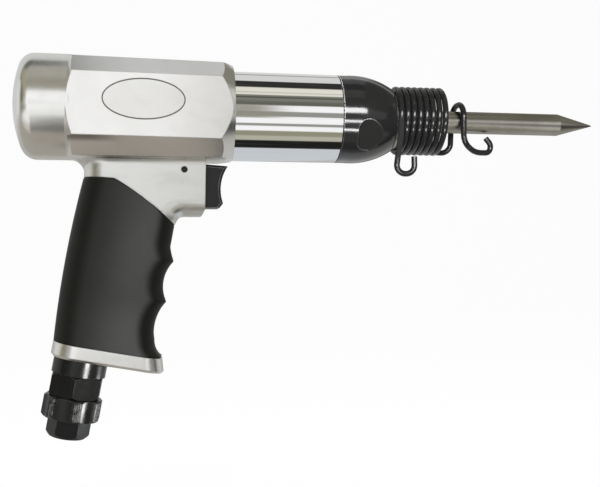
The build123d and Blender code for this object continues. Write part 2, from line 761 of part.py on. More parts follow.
# ---------------------------------------------------------------- punch and retainer spring
def build_punch():
    rear = spigot_front + seat
    front = rear + collar_width
    end = rear - shank_len
    return turned([(end, 0), (end, shank_r - break_edge), (end + break_edge, shank_r), (rear, shank_r),
                   (rear, punch_collar_r - collar_bevel), (rear + collar_bevel, punch_collar_r),
                   (front - collar_bevel, punch_collar_r), (front, punch_collar_r - collar_bevel),
                   (front, shaft_r + break_edge), (front + break_edge, shaft_r), (cone_start, shaft_r),
                   (punch_tip - punch_tip_r, punch_tip_r), (punch_tip, 0)])


def round_wire(path, radius):
    """A round wire along a path."""
    return sweep(Plane(path @ 0, z_dir=path % 0) * Circle(radius), path)


def coil_wire(pitch, turns, radius, wire_radius, place, lefthand=False):
    """A helical wire about the z direction of a plane, starting on its x direction."""
    path = Helix(pitch, turns * pitch, radius, lefthand=lefthand)
    return place * sweep(Plane(path @ 0, z_dir=path % 0) * Circle(wire_radius), path, is_frenet=True)


def build_retainer():
    """A close-wound spring: a grip loop behind, and in front an arch over the punch that ends in a hook."""
    start = Vector(coil_start, -coil_r, barrel_z)
    end = Vector(coil_start + coil_turns * coil_pitch, coil_r, barrel_z)
    lead = Vector(coil_pitch / (2 * pi * coil_r), 0, -1).normalized()
    back = Vector(-lead.X, 0, lead.Z)
    place = Plane(origin=(coil_start, 0, barrel_z), x_dir=(0, -1, 0), z_dir=(1, 0, 0))
    coil = coil_wire(coil_pitch, coil_turns, coil_r, wire_r, place, lefthand=True)
    low = barrel_z - loop_drop
    leg = start + back * leg_len
    left = leg.X - loop_lean
    right = left + loop_width
    loop_y = loop_inset - coil_r
    loop = [start, leg, (left, loop_y - loop_twist, low), (right, loop_y, low),
            (right, loop_y + loop_twist, low + loop_end)]
    loop_wire = round_wire(FilletPolyline(*loop, radius=[leg_bend, loop_bend, loop_bend]), wire_r)
    knee = end + lead * knee_len
    behind, outside, below = arch_twist
    path = [end, knee, (arch_x - behind, arch_half + outside, knee.Z - below),
            (arch_x, arch_half, barrel_z + arch_top)]
    path += [(arch_x + x, y, barrel_z + z) for x, y, z in hook_route]
    bends = [*knee_bends, arch_bend, arch_bend, *hook_bends]
    return coil + loop_wire + round_wire(FilletPolyline(*path, radius=bends), wire_r)


along_barrel = {
    "housing": build_housing, "barrel": build_barrel, "chrome_sleeve": build_sleeve,
    "sleeve_seal": build_sleeve_seal, "nose_cap": build_nose, "piston": build_piston,
    "rear_bumper": build_bumper, "valve_cap": build_valve_cap, "valve_seat": build_valve_seat,
    "valve_disc": build_disc, "valve_dowels": build_dowels, "trigger": build_trigger,
    "trigger_pin": build_trigger_pin, "throttle_bush": build_bush, "throttle_washer": build_washer,
    "throttle_stem": build_stem, "stem_ring": build_stem_ring, "throttle_spring": build_throttle_spring,
    "punch": build_punch, "retainer_spring": build_retainer,
}
along_grip = {
    "grip_sleeve": build_grip, "end_plate": build_plate, "silencer": build_silencer,
    "regulator_body": build_regulator, "regulator_ring": build_ring, "regulator_pin": build_valve_pin,
    "regulator_spool": build_spool, "ring_seals": build_ring_seals, "inlet_bushing": build_inlet,
    "inlet_screen": build_screen,
}

if __name__ == "__main__":
    os.makedirs("parts", exist_ok=True)
    for node, build in along_barrel.items():
        export_step(build(), f"parts/{node}.step")
    for node, build in along_grip.items():
        export_step(in_place(build()), f"parts/{node}.step")
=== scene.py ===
# %% [markdown]
# # A pneumatic rivet gun
#
# The solids of the gun come ready made and packed, each on the body that moves it. This file
# lights them, gives every piece its finish, swaps two plain solids for meshes of its own, and
# adds one rounding.

# %% Load the packed model
import json
import math

import bmesh
import bpy
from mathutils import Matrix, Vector


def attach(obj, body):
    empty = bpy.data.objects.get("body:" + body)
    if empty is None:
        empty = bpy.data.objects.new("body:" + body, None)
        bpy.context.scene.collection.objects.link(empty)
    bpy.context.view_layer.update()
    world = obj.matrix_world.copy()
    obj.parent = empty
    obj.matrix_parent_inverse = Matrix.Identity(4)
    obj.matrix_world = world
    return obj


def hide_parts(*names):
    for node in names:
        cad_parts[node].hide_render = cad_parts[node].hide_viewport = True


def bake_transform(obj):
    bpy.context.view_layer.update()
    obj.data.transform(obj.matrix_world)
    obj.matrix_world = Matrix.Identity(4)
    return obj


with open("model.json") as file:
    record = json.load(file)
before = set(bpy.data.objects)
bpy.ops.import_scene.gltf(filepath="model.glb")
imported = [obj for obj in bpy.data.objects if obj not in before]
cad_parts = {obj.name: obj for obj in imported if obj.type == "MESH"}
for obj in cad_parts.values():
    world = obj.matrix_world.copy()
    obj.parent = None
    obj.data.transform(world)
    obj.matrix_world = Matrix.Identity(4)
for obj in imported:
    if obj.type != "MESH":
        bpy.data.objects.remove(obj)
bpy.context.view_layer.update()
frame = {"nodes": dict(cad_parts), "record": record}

# %% [markdown]
# ## Values of the gun
#
# A finer mesh has to sit exactly where its plain solid sits, and a finish that changes from
# place to place has to know those places. The values that several cells need are written once:
# the height of the barrel axis and the lean of the grip. Lengths are in metres, so a size in
# millimetres is written with MM behind it.

# %% Sizes
MM = 0.001
axis_z = 70.0 * MM
rake = math.radians(10.5)
parts = frame["nodes"]

# %% [markdown]
# ## The camera
#
# A small tool is looked at from close by, so the lens sees some perspective: the muzzle end
# looks smaller than the rear. A long lens from far away would show every part at one scale and
# make the gun look flat. The camera stands level with the grip, square to the gun but turned ten
# degrees, so that a little of the rear end shows.

# %% Camera
camera_place = (0.0158, -0.4323, 0.0047)
camera_turn = math.radians(-10)
lens, sensor = 50.4, 36.0
nearest = 0.01


def put(name, data):
    """A new object in the scene."""
    obj = bpy.data.objects.new(name, data)
    bpy.context.scene.collection.objects.link(obj)
    return obj


camera = put("camera", bpy.data.cameras.new("camera"))
bpy.context.scene.camera = camera
camera.location = camera_place
camera.rotation_euler = (math.radians(90), 0, camera_turn)
camera.data.sensor_width = sensor
camera.data.lens = lens
camera.data.clip_start = nearest
print("camera at", [round(v, 3) for v in camera.location])

# %% [markdown]
# ## Arithmetic on shader values
#
# A material is a net of nodes. Written out node by node it is long and hard to read, so a small
# class wraps a socket and lets ordinary arithmetic add the nodes: `1 - mask * 0.3` puts down two
# Math nodes and joins them. `step` is the work horse of every mask: it is 0 on one side of a
# limit and 1 on the other.


# %% Values that add their own nodes
class Value:
    """A number on its way through a net of nodes."""

    def __init__(self, net, socket):
        self.net = net
        self.socket = socket

    def math(self, operation, *others):
        """The result of a Math node that has no operator of its own."""
        return self.net.math(operation, self, *others)

    def __add__(self, other):
        return self.net.math("ADD", self, other)

    def __sub__(self, other):
        return self.net.math("SUBTRACT", self, other)

    def __rsub__(self, other):
        return self.net.math("SUBTRACT", other, self)

    def __mul__(self, other):
        return self.net.math("MULTIPLY", self, other)

    def __truediv__(self, other):
        return self.net.math("DIVIDE", self, other)

    def __pow__(self, other):
        return self.net.math("POWER", self, other)

    def __abs__(self):
        return self.net.math("ABSOLUTE", self)

    __radd__ = __add__
    __rmul__ = __mul__

    def step(self, low, high):
        """0 below low and 1 above high, with a smooth rise between; low may be the larger."""
        settings = {"interpolation_type": "SMOOTHSTEP"}
        sockets = {"Value": self, "From Min": low, "From Max": high}
        return Value(self.net, self.net.add("ShaderNodeMapRange", settings, sockets).outputs[0])


print("a value knows:", [name.strip("_") for name, thing in vars(Value).items() if callable(thing)])

# %% [markdown]
# ## Nets of nodes
#
# The world and every material are nets of nodes. Each kind of node has its own sockets, and a
# helper for each would never end, so there is one method for all, `add`: it takes the type of
# the node, its settings, and what goes into its sockets.


# %% A net of nodes
class Net:
    """The nodes of the world or of a material."""

    def __init__(self, tree):
        self.tree = tree
        self.tree.nodes.clear()

    def add(self, kind, settings, sockets):
        """One node: its type, its settings, then the value or link of each socket."""
        node = self.tree.nodes.new(kind)
        for key, value in settings.items():
            setattr(node, key, value)
        for key, value in sockets.items():
            self.feed(node.inputs[key], value)
        return node

    def feed(self, socket, value):
        """Links a socket, or gives it a number or a colour."""
        if isinstance(value, Value):
            value = value.socket
        if isinstance(value, bpy.types.NodeSocket):
            self.tree.links.new(value, socket)
        elif isinstance(value, (tuple, list)) and len(value) == 3 and socket.type == "RGBA":
            socket.default_value = (*value, 1.0)
        else:
            socket.default_value = value

    def math(self, operation, *inputs):
        """One Math node, as a value."""
        node = self.add("ShaderNodeMath", {"operation": operation}, dict(enumerate(inputs)))
        return Value(self, node.outputs[0])

    def shown(self):
        """1 for the rays that look at the studio: those of the camera, of mirrors and of glass."""
        rays = self.add("ShaderNodeLightPath", {}, {}).outputs
        seen = Value(self, rays["Is Camera Ray"])
        for kind in ("Is Glossy Ray", "Is Transmission Ray"):
            seen = seen.math("MAXIMUM", Value(self, rays[kind]))
        return seen


print("a net knows:", [name for name in vars(Net) if not name.startswith("__")])

# %% [markdown]
# ## Finishes
#
# A finish is a net round one Principled shader, with the few patterns that cast metal, chrome,
# lacquer and rubber are made of: cloudy noise, patches of colour, fine relief, and the sharp
# edges where a finish catches the light or wears through. Sharp edges come from a Bevel node,
# which looks round a corner without adding a single face.


# %% A finish
class Finish(Net):
    """A material under construction, around one Principled shader."""

    def __init__(self, name, **constants):
        self.material = bpy.data.materials.new(name)
        self.material.use_nodes = True
        super().__init__(self.material.node_tree)
        self.shader = self.add("ShaderNodeBsdfPrincipled", {}, {})
        self.output = self.add("ShaderNodeOutputMaterial", {}, {"Surface": self.shader.outputs[0]})
        self.set(**constants)

    def set(self, **sockets):
        """Feeds sockets of the Principled shader, named with _ for each space."""
        for key, value in sockets.items():
            self.feed(self.shader.inputs[key.replace("_", " ")], value)

    def glow(self, colour):
        """A shader that shines by itself, at the strength of a white page."""
        return self.add("ShaderNodeEmission", {}, {"Color": colour, "Strength": 1.0}).outputs[0]

    def surface(self, shader):
        """Puts another shader in the Principled one's place."""
        self.feed(self.output.inputs["Surface"], shader)

    def place(self):
        """Where a point lies on its piece, in metres, as a vector."""
        return self.add("ShaderNodeTexCoord", {}, {}).outputs["Object"]

    def facing(self):
        """The direction a surface faces on its piece, as a vector."""
        return self.add("ShaderNodeTexCoord", {}, {}).outputs["Normal"]

    def axes(self, vector):
        """The three parts of a vector."""
        node = self.add("ShaderNodeSeparateXYZ", {}, {0: vector})
        return [Value(self, out) for out in node.outputs]

    def stretched(self, vector, scale, turn=(0, 0, 0)):
        """A vector scaled along each axis, so that a pattern laid on it becomes streaks."""
        sockets = {"Vector": vector, "Scale": scale, "Rotation": turn}
        return self.add("ShaderNodeMapping", {}, sockets).outputs[0]

    def noise(self, scale, detail=3.0, rough=0.55, vector=None):
        """Cloudy noise around 0.5, finer as the scale grows."""
        sockets = {"Vector": vector or self.place(), "Scale": scale, "Detail": detail, "Roughness": rough}
        return Value(self, self.add("ShaderNodeTexNoise", {}, sockets).outputs[0])

    def cells(self, scale):
        """Distance from the middle of the nearest cell, for a skin of small balls."""
        sockets = {"Vector": self.place(), "Scale": scale}
        return Value(self, self.add("ShaderNodeTexVoronoi", {}, sockets).outputs["Distance"])

    def mix(self, factor, first, second):
        """A blend of two colours."""
        return self.add("ShaderNodeMix", {"data_type": "RGBA"}, {0: factor, 6: first, 7: second}).outputs[2]

    def patch(self, ground, colour, strength, *limits):
        """Lays a colour on the ground where each (value, low, high) limit has stepped up to 1."""
        for value, low, high in limits:
            strength = value.step(low, high) * strength
        return self.mix(strength, ground, colour)

    def bump(self, height, depth, normal=None):
        """Fine relief: a height from 0 to 1, and how deep that is in metres."""
        sockets = {"Height": height, "Distance": depth, "Strength": 1.0}
        if normal is not None:
            sockets["Normal"] = normal
        return self.add("ShaderNodeBump", {}, sockets).outputs[0]

    def rounded(self, radius):
        """The surface direction, bent round every sharp edge within a radius."""
        return self.add("ShaderNodeBevel", {"samples": 4}, {"Radius": radius}).outputs[0]

    def edges(self, radius):
        """1 on the sharp edges of a piece and 0 on its faces."""
        flat = self.add("ShaderNodeNewGeometry", {}, {}).outputs["Normal"]
        both = {0: self.rounded(radius), 1: flat}
        along = self.add("ShaderNodeVectorMath", {"operation": "DOT_PRODUCT"}, both)
        return Value(self, along.outputs["Value"]).step(0.995, 0.93)

    def tell(self):
        """Prints how large the net has grown."""
        print(self.material.name + ":", len(self.tree.nodes), "nodes")


print("a finish knows:", [name for name in vars(Finish) if not name.startswith("__")])

# %% [markdown]
# ## Floor and backdrop
#
# The gun is held in the air over a pale floor. Floor and backdrop are one sheet with a wide bend,
# so that no line crosses the picture. The ground could be made white with stronger lamps, but
# they would bleach the metal as well. Instead the paper has its own glow for camera and mirror
# rays, and the lamps stay where the metal needs them.

# %% Floor and backdrop
bpy.context.scene.view_settings.view_transform = "Standard"
floor_z = -0.145
floor_near, floor_far, floor_side, wall_top = -3.0, 1.2, 3.5, 3.0
bend = 0.8              # radius of the bend from floor to wall
bend_steps = 10
paper_glow = 0.94       # share of the glow in what camera and mirrors see


def studio_sheet(name, rows):
    """A sheet of the studio, through rows of two points each."""
    sheet = bmesh.new()
    rows = [[sheet.verts.new(point) for point in row] for row in rows]
    for low, high in zip(rows, rows[1:]):
        sheet.faces.new((low[0], low[1], high[1], high[0])).smooth = True
    mesh = bpy.data.meshes.new(name)
    sheet.to_mesh(mesh)
    sheet.free()
    obj = put(name, mesh)
    return obj


profile = [(floor_near, floor_z), (floor_far, floor_z)]
for step in range(1, bend_steps + 1):
    angle = math.radians(90 * step / bend_steps)
    profile.append((floor_far + bend * math.sin(angle), floor_z + bend - bend * math.cos(angle)))
profile.append((floor_far + bend, wall_top))
floor = studio_sheet("floor", [[(-floor_side, y, z), (floor_side, y, z)] for y, z in profile])

paper = Finish("paper", Base_Color=(0.82, 0.82, 0.82), Roughness=0.9)
both = {0: paper.shown() * paper_glow, 1: paper.shader.outputs[0], 2: paper.glow((1, 1, 1))}
paper.surface(paper.add("ShaderNodeMixShader", {}, both).outputs[0])
floor.data.materials.append(paper.material)
print("floor at", floor_z, "m,", len(floor.data.polygons), "faces")

# %% [markdown]
# ## The light tent
#
# Chrome shows nothing but its surroundings, so the surroundings are designed. A tent of cloth
# stands round the gun, along its barrel, and only mirror rays see it. The place of each strip is
# an angle round the barrel, in degrees, from straight in front upward. The camera stands in
# front, so the sleeve mirrors a strip where it faces about half of the strip's angle. A real
# studio does the same with boards and flags. Lamps alone would do less: they would draw the
# bright lines on the sleeve, but not its dark ones.

# %% Dyed cloth and the order of the strips
white, milk, cream = (1.0, 1.0, 1.0), (0.88, 0.88, 0.86), (0.80, 0.78, 0.67)
pale, sky, ash = (0.70, 0.70, 0.69), (0.60, 0.63, 0.66), (0.62, 0.62, 0.61)
tin, oat, stone = (0.58, 0.58, 0.58), (0.55, 0.53, 0.48), (0.46, 0.45, 0.42)
sand, moss, grey = (0.47, 0.46, 0.37), (0.46, 0.47, 0.27), (0.42, 0.42, 0.42)
lichen, flint, umber = (0.42, 0.42, 0.38), (0.38, 0.365, 0.32), (0.36, 0.345, 0.31)
straw, pewter, bark = (0.36, 0.34, 0.25), (0.34, 0.335, 0.31), (0.34, 0.31, 0.27)
slate, clay, olive = (0.30, 0.30, 0.28), (0.30, 0.29, 0.21), (0.30, 0.285, 0.23)
fern, dusk, soot = (0.22, 0.215, 0.175), (0.20, 0.205, 0.17), (0.13, 0.135, 0.11)
brown, night, pine = (0.10, 0.085, 0.065), (0.08, 0.085, 0.07), (0.06, 0.065, 0.05)
coal, tar, black = (0.03, 0.03, 0.03), (0.03, 0.03, 0.027), (0.015, 0.015, 0.014)

# Each strip starts at its angle and ends where the next one starts.
sleeve_strips = ((-179, sky), (-89, black), (-65.5, sand), (-53.5, clay), (-41, white),
                 (-29, slate), (-22.5, white), (-5, slate), (8, white), (23, soot), (34, dusk),
                 (42, night), (45.5, dusk), (50.5, cream), (57, grey), (59, cream), (73.5, tar),
                 (96, pale), (126, slate), (132, pale))
housing_strips = ((-179, stone), (-136, umber), (-88, bark), (-62, oat), (-44, milk),
                  (-12, white), (27, olive), (55, flint), (108, ash))
print("strips:", len(sleeve_strips), "over the sleeve,", len(housing_strips), "over the housing")

# %% The tent and the strips along it
tent_r, tent_end = 0.9, 1.5
tent_step = 5           # degrees from one fold of the cloth to the next
tent_gap = 0.004        # between the cloth and the floor
strip_edge = 1.6        # softness of a strip's edge, in degrees
sag_deep = 3.0          # how far a strip wanders, in degrees

rows = []
for degrees in range(-180, 181, tent_step):
    angle = math.radians(degrees)
    y, z = -tent_r * math.cos(angle), axis_z + tent_r * math.sin(angle)
    rows.append([(end, y, max(z, floor_z + tent_gap)) for end in (-tent_end, tent_end)])
tent = studio_sheet("tent", rows)

cloth = Finish("tent_cloth")
x, y, z = cloth.axes(cloth.place())
turn = (z - axis_z).math("ARCTAN2", y * -1.0).math("DEGREES")
away = (y * y + (z - axis_z) * (z - axis_z)) ** 0.5
wandering = turn + (cloth.noise(3.0, 2) - 0.5) * sag_deep


def striped(strips):
    """The colour of the cloth, strip after strip."""
    colour = pale
    for start, dye in strips:
        colour = cloth.patch(colour, dye, 1.0, (wandering, start - strip_edge, start + strip_edge))
    return colour


print("tent faces:", len(tent.data.polygons))

# %% [markdown]
# ### The cloth over the sleeve and the punch
#
# The strips run the whole length of the sleeve. Near its rear a streaky darker patch keeps the
# middle of the mirror from being one flat white, as handling haze does on a real sleeve. The
# black nose gets its own white piece low in front. Further ahead hangs the cloth that the punch
# mirrors: turned steel is duller than chrome and needs only a light side and a dark one. Each
# statement lays one patch: its colour, how strongly it covers, and the limits that it lies in.
# A mirrored ray keeps its slope along the barrel, so the cloth for a place hangs about three
# times as far ahead of the camera as the place itself.

# %% The cloth over the sleeve and the punch
streak = cloth.noise(5.0, 2, 0.5, cloth.stretched(cloth.place(), (1.0, 9.0, 9.0)))
ragged = turn + streak * 6
over_sleeve = striped(sleeve_strips)
# The streaky patch towards the rear, and faint streaks all along.
over_sleeve = cloth.patch(over_sleeve, olive, 0.9, (ragged, -8, -4), (ragged, 28, 24),
                          (x + streak * 0.05, 0.27, 0.19))
over_sleeve = cloth.patch(over_sleeve, stone, 0.25, (streak, 0.55, 0.75))
# The white piece low in front of the nose.
over_sleeve = cloth.patch(over_sleeve, white, 1.0, (x, 0.33, 0.37), (turn, -74, -66), (turn, -28, -36))
# The punch: dark above, white in front, middling below.
over_punch = cloth.patch(stone, fern, 1.0, (turn, 20, 27))
over_punch = cloth.patch(over_punch, white, 1.0, (turn, -4, 0), (turn, 24, 18))
over_sleeve = cloth.patch(over_sleeve, over_punch, 1.0, (x, 0.42, 0.5))
# A middling underside from the sleeve's middle forward.
over_sleeve = cloth.patch(over_sleeve, stone, 0.8, (x, 0.16, 0.2), (turn, -60, -70))
print("cloth nodes so far:", len(cloth.tree.nodes))

# %% [markdown]
# ### The cloth over the housing
#
# The housing is faceted, so each flat mirrors one piece of cloth and shows it as one even tone.
# Strips would do for the long flats, but not for the round rear end and the trigger block, which
# mirror places of their own and get pieces of their own.

# %% The cloth over the housing
over_housing = striped(housing_strips)
# High up: a dark band over the rear end, and a light one over the long flats.
over_housing = cloth.patch(over_housing, pine, 1.0, (turn, 84, 89), (turn, 110, 105), (x, -0.085, -0.1))
over_housing = cloth.patch(over_housing, tin, 1.0, (turn, 78, 84), (x, -0.1, -0.085))
# Low in front: a black piece, and a grey one ahead of it under the trigger block.
over_housing = cloth.patch(over_housing, black, 0.8, (turn, -24, -29), (turn, -66, -56),
                           (x, -0.10, -0.08), (x, 0.03, 0.01))
over_housing = cloth.patch(over_housing, pewter, 1.0, (turn, -2, -6), (turn, -26, -18), (x, 0.01, 0.03))
# The seam to the sleeve's cloth runs a little forward as the cloth gets further from the axis.
seam = x - away * 0.1
colour = cloth.patch(over_housing, over_sleeve, 1.0, (seam, 0.036, 0.044))
print("cloth nodes so far:", len(cloth.tree.nodes))

# %% [markdown]
# ### The cloth at the two ends
#
# The neck and the rear end are curved about other axes than the barrel's. They mirror the tent
# far to the left, where a band at the height of the neck is white, then moss green and brown.
# The walls that close the tent carry on the same band, and dark cloth hangs low at the right
# end, in front of the nose. The tent must not shine on anything matt, so it is hidden from every
# ray but those of mirrors, and it is kept out of the list of lamps.

# %% The cloth at the two ends
near_side = (y, 0.3, 0.0)                       # the far half of the tent stays as it is
neck_level = (0.02, 0.04), (0.15, 0.13)         # the limits of the band in height
neck_band = [(z, *limit) for limit in neck_level]
left = cloth.patch(lichen, black, 1.0, (z, -0.085, -0.075))
left = cloth.patch(left, straw, 1.0, (z, 0.085, 0.095))
colour = cloth.patch(colour, left, 1.0, near_side, (x, -0.58, -0.66))
colour = cloth.patch(colour, brown, 1.0, near_side, (x, -1.15, -1.3))
colour = cloth.patch(colour, white, 1.0, near_side, *neck_band, (x, -0.2, -0.3))
colour = cloth.patch(colour, moss, 1.0, near_side, *neck_band, (x, -1.05, -1.15))
colour = cloth.patch(colour, stone, 0.8, near_side, *neck_band, (x, -0.13, -0.17), (x, -0.36, -0.30))
colour = cloth.patch(colour, coal, 1.0, near_side, (x, 0.48, 0.56), (turn, -4, -8))
cloth.surface(cloth.glow(colour))
tent.data.materials.append(cloth.material)
cloth.tell()

# %% The walls that close the tent
end_cloth = Finish("end_cloth")
x, y, z = end_cloth.axes(end_cloth.place())
colour = end_cloth.patch(pale, brown, 1.0, (y, -0.2, -0.35))
neck_band = [(z, *limit) for limit in neck_level]
colour = end_cloth.patch(colour, moss, 1.0, (y, 0.1, 0.0), *neck_band, (x, 0.0, -0.1))
end_cloth.surface(end_cloth.glow(colour))
walls = []
for end in (-tent_end, tent_end):
    rows = [[(end, y, z) for y in (-tent_r, tent_r)] for z in (floor_z, axis_z + tent_r)]
    wall = studio_sheet("tent_end", rows)
    wall.data.materials.append(end_cloth.material)
    walls.append(wall)
for sheet in (tent, *walls):
    sheet.visible_camera = sheet.visible_diffuse = False
    sheet.visible_shadow = sheet.visible_transmission = False
for finish in (cloth, end_cloth):
    finish.material.cycles.emission_sampling = "NONE"
end_cloth.tell()

# %% [markdown]
# ## The plain white world
#
# Matt surfaces take their light from all round, so the world is plain white. Camera and mirror
# rays see it at full strength. The light that falls on the gun is dimmer, so that its colours
# render about as they are written.

# %% World
world_seen, world_light = 1.0, 0.45
world = bpy.data.worlds.new("studio")
world.use_nodes = True
bpy.context.scene.world = world
air = Net(world.node_tree)
dim, bright = [air.add("ShaderNodeBackground", {}, {"Color": (1, 1, 1), "Strength": strength}).outputs[0]
               for strength in (world_light, world_seen)]
joined = air.add("ShaderNodeMixShader", {}, {0: air.shown(), 1: dim, 2: bright})
air.add("ShaderNodeOutputWorld", {}, {"Surface": joined.outputs[0]})
print("world nodes:", len(air.tree.nodes))

# %% [markdown]
# ## Lamps
#
# Two large soft lamps, overhead and in front, shape the matt surfaces. Mirror rays don't see
# them, because the tent draws the reflections. Black lacquer needs lamps of its own: it returns
# about a fiftieth of what falls on it, so it takes a lamp far brighter than the tent to draw a
# white line on it. Five narrow lamps along the barrel light the nose and the retainer, and two
# small ones light the regulator's fittings. Light linking keeps them off everything else, where
# they would burn holes in the metal's tones.

# %% A soft rectangular lamp
def lamp(name, place, aim, size, power, only=None):
    """A soft rectangular lamp that looks at a point. One with a group of its own is mirrored too."""
    light = bpy.data.lights.new(name, "AREA")
    light.shape = "RECTANGLE"
    light.size, light.size_y = size
    light.energy = power
    obj = put(name, light)
    obj.location = place
    obj.rotation_euler = (Vector(aim) - Vector(place)).to_track_quat("-Z", "Y").to_euler()
    obj.visible_camera = False
    obj.visible_glossy = only is not None
    obj.light_linking.receiver_collection = only


print("lamps so far:", len(bpy.data.lights))

# %% Narrow lamps for lacquer, wire and fittings
lacquered = bpy.data.collections.new("lacquered")
for name, turn, reach, x0, x1, wide, power in (("high", 16.2, 0.85, -0.4, 0.50, 0.19, 24),
                                               ("middle", -13.4, 0.85, -0.4, 0.46, 0.14, 17),
                                               ("low", -35, 0.36, -0.1, 0.22, 0.046, 2.6),
                                               ("under", -122, 0.10, 0.08, 0.34, 0.10, 0.075),
                                               ("above", 116, 0.10, 0.08, 0.30, 0.018, 0.013)):
    angle = math.radians(turn)
    middle = (x0 + x1) / 2
    place = (middle, -reach * math.cos(angle), axis_z + reach * math.sin(angle))
    lamp("lamp_" + name, place, (middle, 0, axis_z), (x1 - x0, wide), power, lacquered)

fittings = bpy.data.collections.new("fittings")
fittings_middle = (-0.02, 0, -0.07)
for name, place, size, power in (("upright", (0.12, -0.22, -0.11), (0.07, 0.06), 0.6),
                                 ("side", (0.13, 0.02, -0.130), (0.05, 0.022), 0.12)):
    lamp("lamp_" + name, place, fittings_middle, size, power, fittings)
print("narrow lamps:", len(bpy.data.lights))

# %% The two large lamps
soft_size = (1.4, 0.8)
lamp("overhead", (0.1, -0.1, 1.1), (0, 0, 0), soft_size, 12)
lamp("front", (-0.2, -1.3, 0.5), (0.02, 0, 0), soft_size, 14)
print("lamps:", len(bpy.data.lights))

# %% [markdown]
# ## Cast aluminium
#
# Housing, trigger block and end plate are cast, then bead blasted and vibrated until they shine
# softly. The blasting leaves a fine grain, the casting a faint cloudiness, and every edge is
# slightly rounded. One noise could not be all of these, so there are three: a coarse one for
# clouds, a middle one for patches, a very fine one for grain. The trigger block is a little
# duller and greyer than the flats, with smears. Along the housing above it, a dark reflection is
# painted into the colour.

# %% Cast aluminium: tones
blasted, shaded, blotch = (0.95, 0.947, 0.94), (0.88, 0.875, 0.86), (0.74, 0.73, 0.71)
block_grey, smear_grey, painted_reflection_dark = (0.80, 0.805, 0.79), (0.60, 0.61, 0.59), (0.20, 0.185, 0.17)
block_top, block_foot, block_rear = 45.5 * MM, -20 * MM, -18 * MM      # limits of the block's tone

cast = Finish("cast_aluminium", Metallic=1.0, IOR=1.5)
x, y, z = cast.axes(cast.place())
clouds, patches, grain = cast.noise(38, 4), cast.noise(160, 4), cast.noise(5200, 2)
smears = cast.noise(90, 3, 0.6, cast.stretched(cast.place(), (0.5, 1.0, 1.4), (0, 0.5, 0)))
block = z.step(block_top + 2 * MM, block_top) * x.step(block_rear - 4 * MM, block_rear)
block = block * z.step(block_foot - 10 * MM, block_foot)
tone = cast.patch(shaded, blasted, 1.0, (clouds, 0.35, 0.7))
tone = cast.patch(tone, blotch, 0.15, (patches, 0.5, 0.8))
tone = cast.mix(block * 0.7, tone, block_grey)
tone = cast.patch(tone, smear_grey, block * 0.3, (smears, 0.5, 0.72))
# A painted dark reflection along the housing's lower facet, above the trigger block.
tone = cast.patch(tone, painted_reflection_dark, 0.75, (y, -20 * MM, -22 * MM),
                  (z, 52.5 * MM, 55.0 * MM), (z, 56.0 * MM, 55.9 * MM),
                  (x, -24.5 * MM, -23 * MM), (x + clouds * 0.01, 12 * MM, -8 * MM))
cast.tell()

# %% [markdown]
# ### The badge line and the hollow
#
# A plain oval line marks the place of a badge on the near side of the housing. It is too fine to
# be worth a cut in the mesh, so it is a mask: how far a point is from an ellipse, divided by how
# steeply that measure grows, which keeps the line equally wide all round. The block is also
# hollowed low down, ahead of the grip: a soft band that ends behind in a half circle, and that
# is shallow enough for a bump.

# %% The badge line and the hollow
badge_x, badge_z, badge_long, badge_high = 12.1 * MM, 73.6 * MM, 19.4 * MM, 9.6 * MM
groove, groove_deep = 0.22 * MM, 0.25 * MM
groove_dark, badge_grey = (0.16, 0.155, 0.14), (0.62, 0.61, 0.58)
across, upright = abs(x - badge_x) / badge_long, abs(z - badge_z) / badge_high
ring = (across * across + upright * upright) ** 0.5
steep = ((across / badge_long) ** 2.0 + (upright / badge_high) ** 2.0) ** 0.5
on_side = y.step(-24.5 * MM, -25.5 * MM)
line = (abs(ring - 1.0) * ring / steep).step(groove * 1.5, groove * 0.7) * on_side
inside = ring.step(1.0, 0.97) * on_side
tone = cast.mix(line * 0.85, tone, groove_dark)
tone = cast.mix(inside * 0.12, tone, badge_grey)

heel_x, heel_z = 29.0 * MM, 17.5 * MM
hollow_wide, hollow_soft = 9.4 * MM, 2.6 * MM   # its half width, and the eased part of its rim
hollow_slope = 0.32                             # how steeply it falls
behind = (heel_x - x).math("MAXIMUM", 0.0)
from_heel = (behind * behind + (z - heel_z) * (z - heel_z)) ** 0.5
depth = (from_heel * -1.0 + hollow_wide).math("MAXIMUM", 0.0)
eased = depth.math("MINIMUM", hollow_soft)
fall = eased * eased / (2 * hollow_soft) + (depth - hollow_soft).math("MAXIMUM", 0.0)

relief = cast.bump(grain * 0.7 + patches * 0.3, 0.02 * MM, cast.rounded(0.6 * MM))
relief = cast.bump(fall * block * hollow_slope / -MM, 1.0 * MM, relief)
cast.set(Base_Color=tone, Normal=cast.bump(1 - line, groove_deep, relief),
         Roughness=0.17 + clouds * 0.06 + patches * 0.05 + block * 0.08 + line * 0.2 + inside * 0.03)
cast.tell()

# %% [markdown]
# ## Chrome
#
# The sleeve over the barrel is ground and chromed. Chrome is nearly a mirror, and a perfect one
# would look computed: what makes it real is a slight waviness left by the grinding, which runs
# round the tube, and faint handling haze. So the relief is a broad ripple with very weak rings.

# %% Chrome
chrome = Finish("chrome", Base_Color=(0.90, 0.90, 0.91), Metallic=1.0)
haze, ripple = chrome.noise(60, 3), chrome.noise(9, 1)
rings = chrome.noise(14.0, 2, 0.5, chrome.stretched(chrome.place(), (30, 0.3, 0.3)))
chrome.set(Roughness=0.03 + haze.step(0.45, 0.8) * 0.06,
           Normal=chrome.bump(ripple * 0.8 + rings * 0.004, 0.5 * MM))
chrome.tell()
